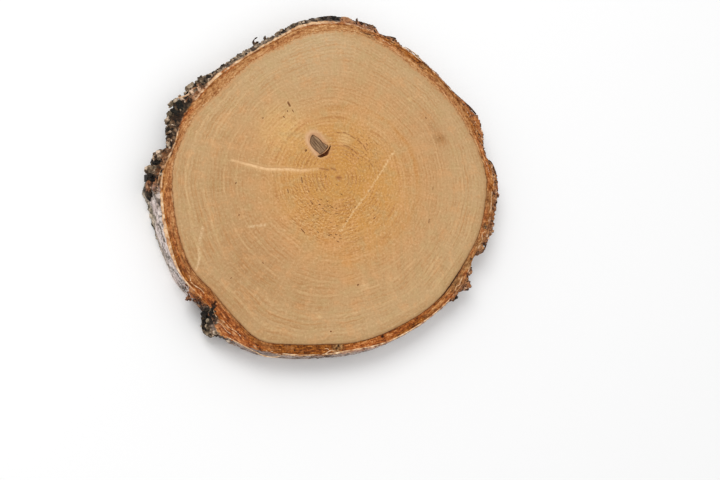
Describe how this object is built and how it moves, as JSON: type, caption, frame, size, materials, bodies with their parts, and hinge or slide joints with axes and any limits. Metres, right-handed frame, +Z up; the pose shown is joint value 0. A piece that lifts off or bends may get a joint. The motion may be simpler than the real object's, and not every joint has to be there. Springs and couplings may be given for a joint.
{
  "type": "birch wood slice",
  "caption": "Flat sawn cross-section of a birch trunk with its bark on, lying on one face; a rustic base, coaster or board.",
  "frame": {"origin": "where the pith meets the lower sawn face, which the slice rests on", "axes": "+Z up through the pith, across the thickness; the knot lies towards -X and +Y; +X is the right of the picture and +Y its top"},
  "size_m": [0.2441, 0.2289, 0.018],
  "materials": {
    "wood": "sawn and lightly sanded, matt",
    "inner_bark": "rough, granular, matt",
    "outer_bark": "papery white to dark and fissured, matt",
    "knot": "dead dry wood, matt"
  },
  "bodies": {
    "root": {"birch_slice": "wood"}
  },
  "joints": []
}
